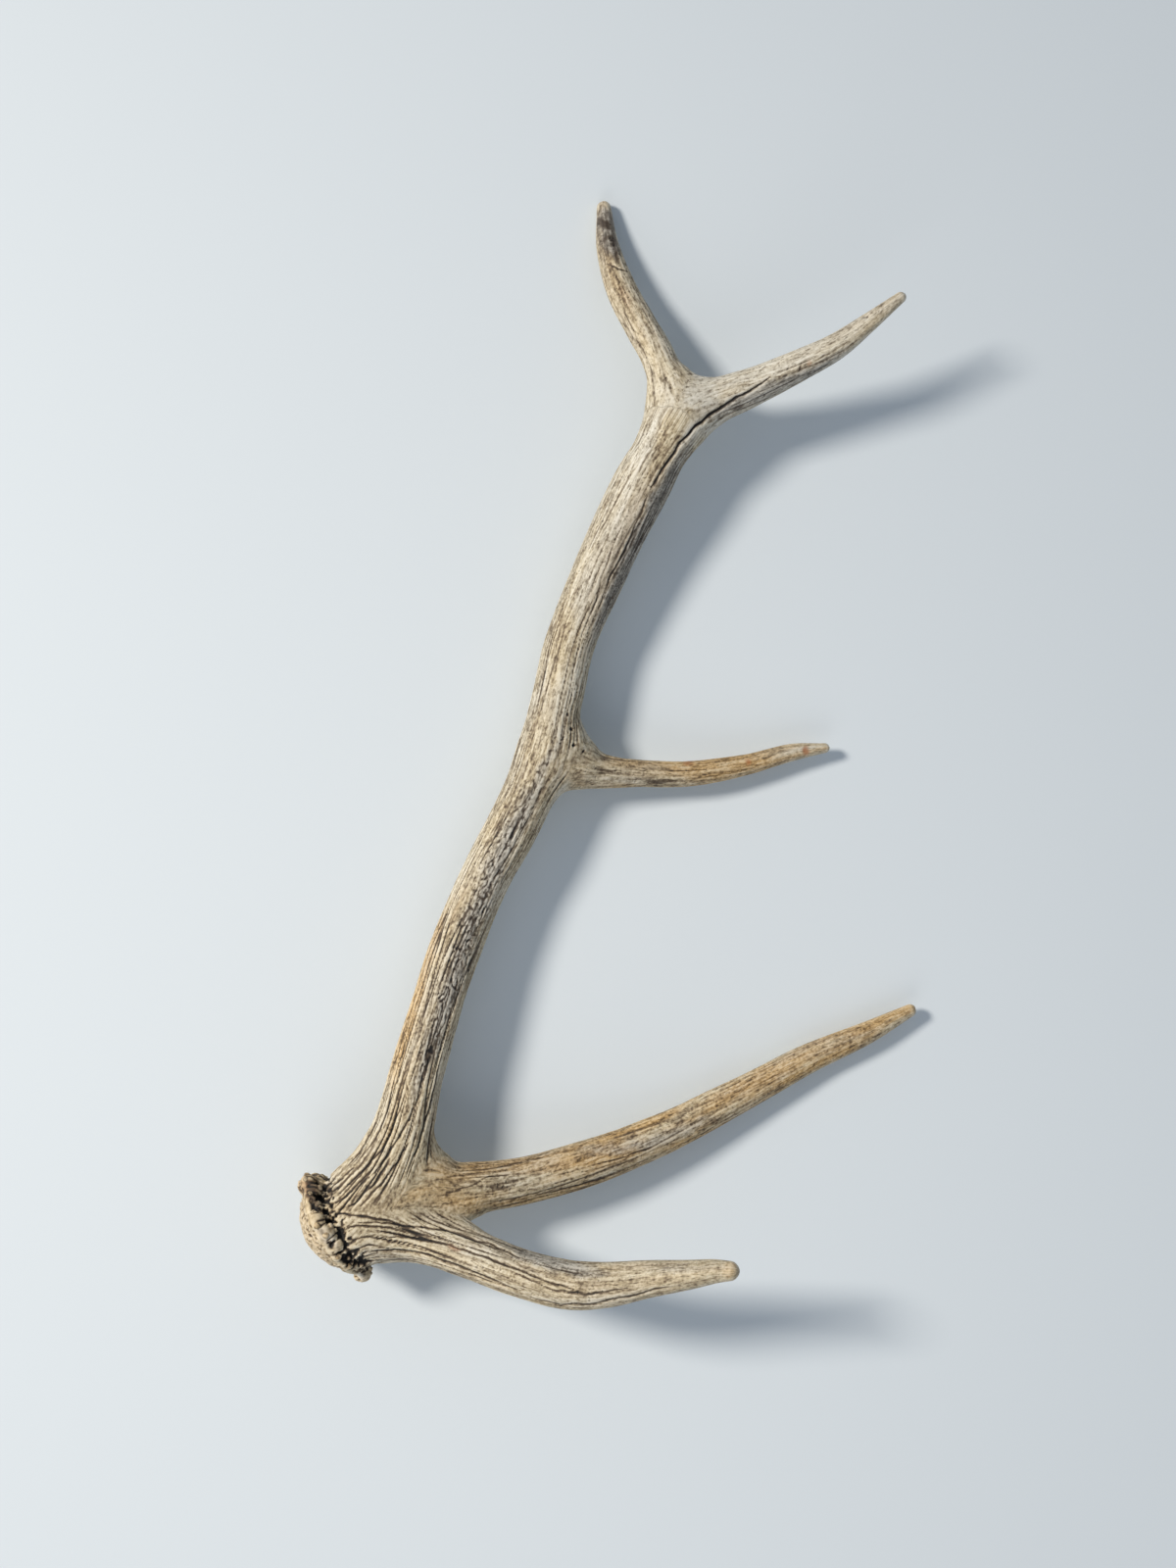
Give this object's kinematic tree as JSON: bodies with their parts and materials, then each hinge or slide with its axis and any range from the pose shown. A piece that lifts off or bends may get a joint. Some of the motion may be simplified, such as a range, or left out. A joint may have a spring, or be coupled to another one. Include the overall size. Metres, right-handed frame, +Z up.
{
  "type": "deer antler",
  "caption": "Shed left antler with burr, curved beam, brow, bez and trez tines and a forked crown, lying on its outer side.",
  "frame": {"origin": "middle of the footprint of the bounding box, on the floor that the antler lies on", "axes": "+Z up from the floor, +Y from the burr towards the crown, +X the side that the tines reach towards"},
  "size_m": [0.499, 0.8568, 0.1478],
  "materials": {
    "burr_bone": "rough knobbly antler bone, tan and pitted, dark brown in the hollows; ceramic stands for bone",
    "beam_bone": "dry weathered antler bone with long grooves, cream ridges and grey-brown hollows",
    "tine_bone": "antler bone worn smoother towards the tips, cream with ochre stains"
  },
  "bodies": {
    "root": {"burr_and_base": "burr_bone", "brow_tine": "tine_bone", "bez_tine": "tine_bone", "lower_beam": "beam_bone", "upper_beam": "beam_bone", "trez_tine": "tine_bone", "crown_back_tine": "tine_bone", "crown_front_tine": "tine_bone"}
  },
  "joints": []
}
